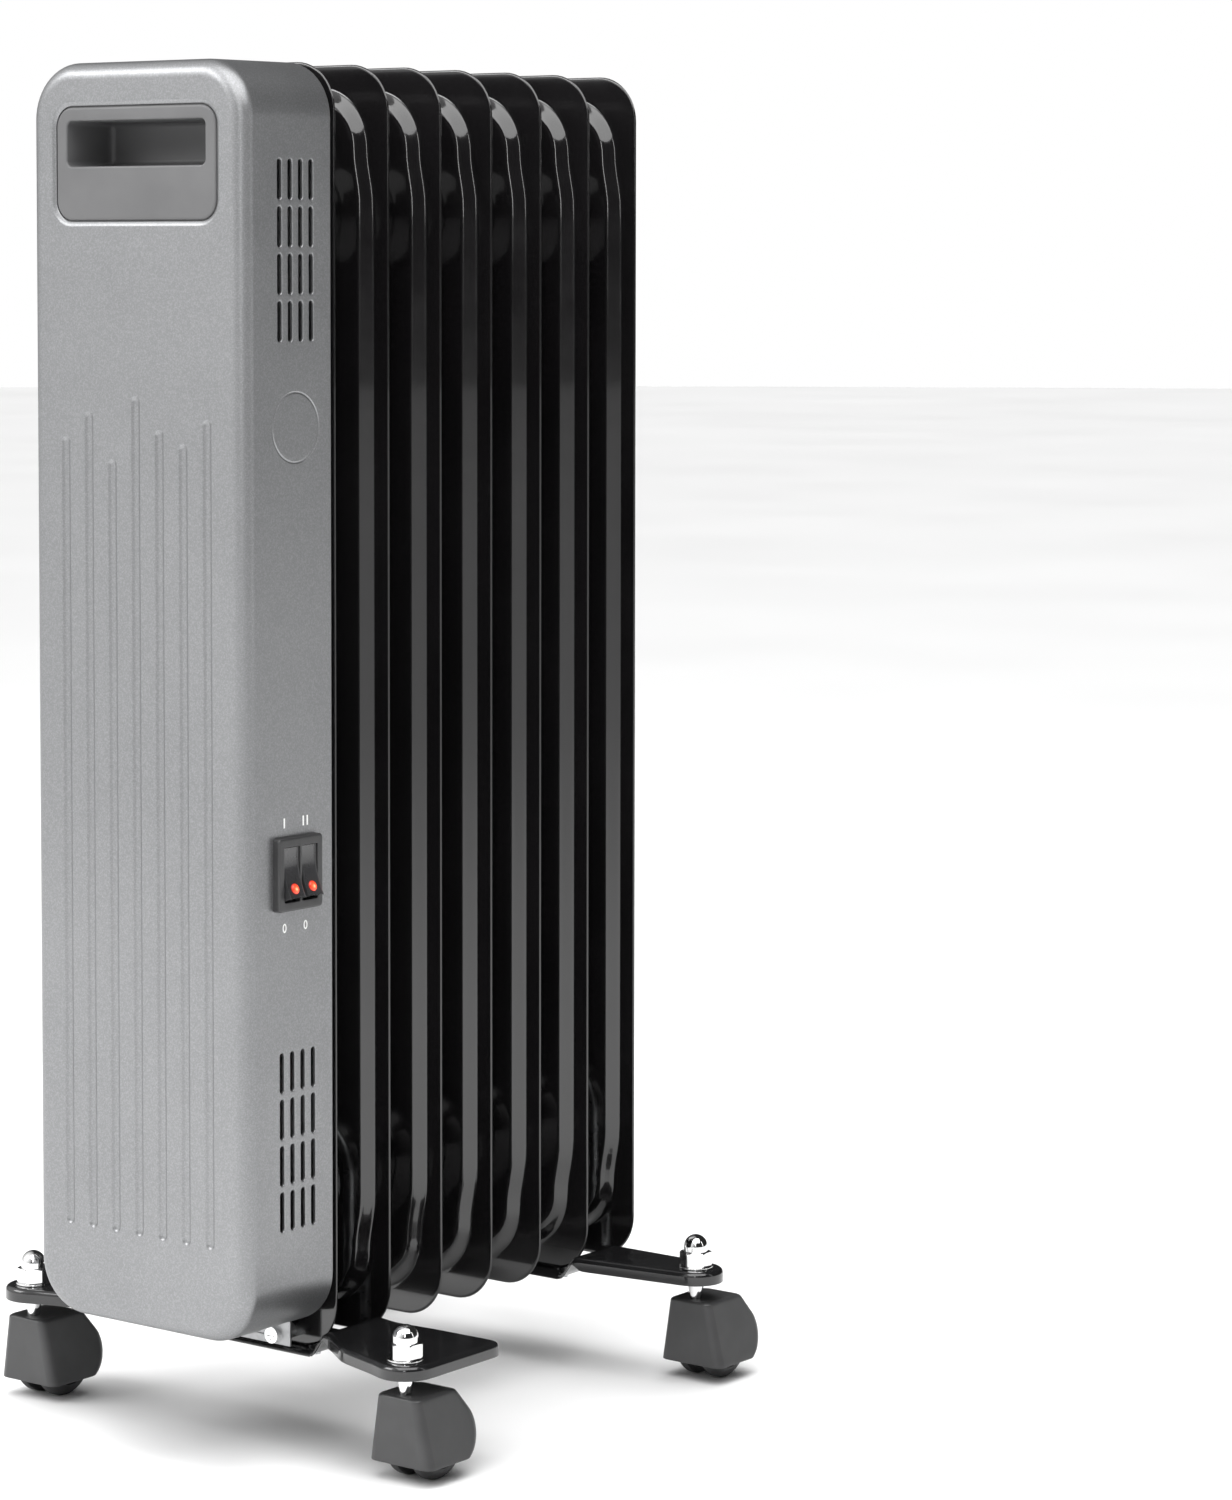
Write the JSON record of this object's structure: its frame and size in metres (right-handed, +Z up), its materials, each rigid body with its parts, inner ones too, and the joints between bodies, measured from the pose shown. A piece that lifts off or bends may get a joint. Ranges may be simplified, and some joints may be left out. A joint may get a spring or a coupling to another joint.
{
  "type": "oil filled radiator heater",
  "caption": "Portable oil filled column radiator: flat pressed fins behind a slim control housing with a recessed handle and rocker switches, on twin-wheel casters.",
  "frame": {"origin": "on the floor, under the middle of the heater", "axes": "+Z is up; the control housing faces -Y; the rocker switches are on the +X side"},
  "size_m": [0.252, 0.2956, 0.5989],
  "materials": {
    "radiator_enamel": "gloss black stove enamel on pressed steel",
    "bracket_enamel": "gloss black enamel on bent steel sheet",
    "housing_paint": "satin silver-grey metallic paint",
    "handle_plastic": "fine-grained dark grey moulding",
    "switch_frame": "satin black moulding",
    "rocker_gloss": "glossy black moulding",
    "lamp_red": "clear red lens, lit",
    "zinc_steel": "bright zinc plated steel",
    "chrome_parts": "polished chrome plate",
    "axle_steel": "plain turned steel",
    "hood_plastic": "fine satin charcoal moulding",
    "wheel_plastic": "satin black moulding",
    "element_metal": "dull steel sheath",
    "tinned_brass": "tinned brass",
    "gasket_fibre": "pressed fibre",
    "pale_moulding": "heat resisting moulding",
    "dark_moulding": "black nylon",
    "wire_sleeve": "silicone insulation"
  },
  "bodies": {
    "root": {"fin_1": "radiator_enamel", "fin_2": "radiator_enamel", "fin_3": "radiator_enamel", "fin_4": "radiator_enamel", "fin_5": "radiator_enamel", "fin_6": "radiator_enamel", "fin_7": "radiator_enamel", "upper_collars": "radiator_enamel", "lower_collars": "radiator_enamel", "header_caps": "radiator_enamel", "filler_plug": "zinc_steel", "heating_element_low": "element_metal", "heating_element_high": "element_metal", "element_flange": "element_metal", "element_gasket": "gasket_fibre", "element_terminals": "tinned_brass", "chassis_plate": "zinc_steel", "chassis_screws": "zinc_steel", "chassis_spacers": "zinc_steel", "case_screws": "zinc_steel", "front_housing": "housing_paint", "handle_insert": "handle_plastic", "thermostat": "pale_moulding", "thermal_cutout": "dark_moulding", "terminal_block": "pale_moulding", "wiring": "wire_sleeve", "cord_gland": "dark_moulding", "gland_nut": "dark_moulding", "switch_body": "switch_frame", "switch_terminals": "tinned_brass", "front_bracket": "bracket_enamel", "rear_bracket": "bracket_enamel", "u_bolts": "zinc_steel", "wing_nuts": "zinc_steel", "caster_stems": "chrome_parts", "stem_washers": "zinc_steel", "acorn_nuts": "chrome_parts"},
    "swivel_fl": {"hood_fl": "hood_plastic", "axle_fl": "axle_steel"},
    "wheel_fl_left": {"wheel_fl_left": "wheel_plastic"},
    "wheel_fl_right": {"wheel_fl_right": "wheel_plastic"},
    "swivel_fr": {"hood_fr": "hood_plastic", "axle_fr": "axle_steel"},
    "wheel_fr_left": {"wheel_fr_left": "wheel_plastic"},
    "wheel_fr_right": {"wheel_fr_right": "wheel_plastic"},
    "swivel_rl": {"hood_rl": "hood_plastic", "axle_rl": "axle_steel"},
    "wheel_rl_left": {"wheel_rl_left": "wheel_plastic"},
    "wheel_rl_right": {"wheel_rl_right": "wheel_plastic"},
    "swivel_rr": {"hood_rr": "hood_plastic", "axle_rr": "axle_steel"},
    "wheel_rr_left": {"wheel_rr_left": "wheel_plastic"},
    "wheel_rr_right": {"wheel_rr_right": "wheel_plastic"},
    "rocker_1": {"rocker_1": "rocker_gloss", "rocker_lamp_1": "lamp_red"},
    "rocker_2": {"rocker_2": "rocker_gloss", "rocker_lamp_2": "lamp_red"}
  },
  "joints": [
    {"name": "swivel_fl_turn", "type": "hinge", "parent": "root", "child": "swivel_fl", "pos_m": [-0.1087, -0.10125, 0.0378], "axis": [0, 0, 1], "continuous": true},
    {"name": "wheel_fl_left_spin", "type": "hinge", "parent": "swivel_fl", "child": "wheel_fl_left", "pos_m": [-0.1087, -0.08925, 0.0155], "axis": [1, 0, 0], "continuous": true},
    {"name": "wheel_fl_right_spin", "type": "hinge", "parent": "swivel_fl", "child": "wheel_fl_right", "pos_m": [-0.1087, -0.08925, 0.0155], "axis": [1, 0, 0], "continuous": true},
    {"name": "swivel_fr_turn", "type": "hinge", "parent": "root", "child": "swivel_fr", "pos_m": [0.1087, -0.10125, 0.0378], "axis": [0, 0, 1], "continuous": true},
    {"name": "wheel_fr_left_spin", "type": "hinge", "parent": "swivel_fr", "child": "wheel_fr_left", "pos_m": [0.1087, -0.08925, 0.0155], "axis": [1, 0, 0], "continuous": true},
    {"name": "wheel_fr_right_spin", "type": "hinge", "parent": "swivel_fr", "child": "wheel_fr_right", "pos_m": [0.1087, -0.08925, 0.0155], "axis": [1, 0, 0], "continuous": true},
    {"name": "swivel_rl_turn", "type": "hinge", "parent": "root", "child": "swivel_rl", "pos_m": [-0.1087, 0.10905, 0.0378], "axis": [0, 0, 1], "continuous": true},
    {"name": "wheel_rl_left_spin", "type": "hinge", "parent": "swivel_rl", "child": "wheel_rl_left", "pos_m": [-0.1087, 0.12105, 0.0155], "axis": [1, 0, 0], "continuous": true},
    {"name": "wheel_rl_right_spin", "type": "hinge", "parent": "swivel_rl", "child": "wheel_rl_right", "pos_m": [-0.1087, 0.12105, 0.0155], "axis": [1, 0, 0], "continuous": true},
    {"name": "swivel_rr_turn", "type": "hinge", "parent": "root", "child": "swivel_rr", "pos_m": [0.1087, 0.10905, 0.0378], "axis": [0, 0, 1], "continuous": true},
    {"name": "wheel_rr_left_spin", "type": "hinge", "parent": "swivel_rr", "child": "wheel_rr_left", "pos_m": [0.1087, 0.12105, 0.0155], "axis": [1, 0, 0], "continuous": true},
    {"name": "wheel_rr_right_spin", "type": "hinge", "parent": "swivel_rr", "child": "wheel_rr_right", "pos_m": [0.1087, 0.12105, 0.0155], "axis": [1, 0, 0], "continuous": true},
    {"name": "rocker_1_press", "type": "hinge", "parent": "root", "child": "rocker_1", "pos_m": [0.0608, -0.1216, 0.2564], "axis": [0, 1, 0], "range_deg": [0, 22]},
    {"name": "rocker_2_press", "type": "hinge", "parent": "root", "child": "rocker_2", "pos_m": [0.0608, -0.1103, 0.2564], "axis": [0, 1, 0], "range_deg": [0, 22]}
  ]
}
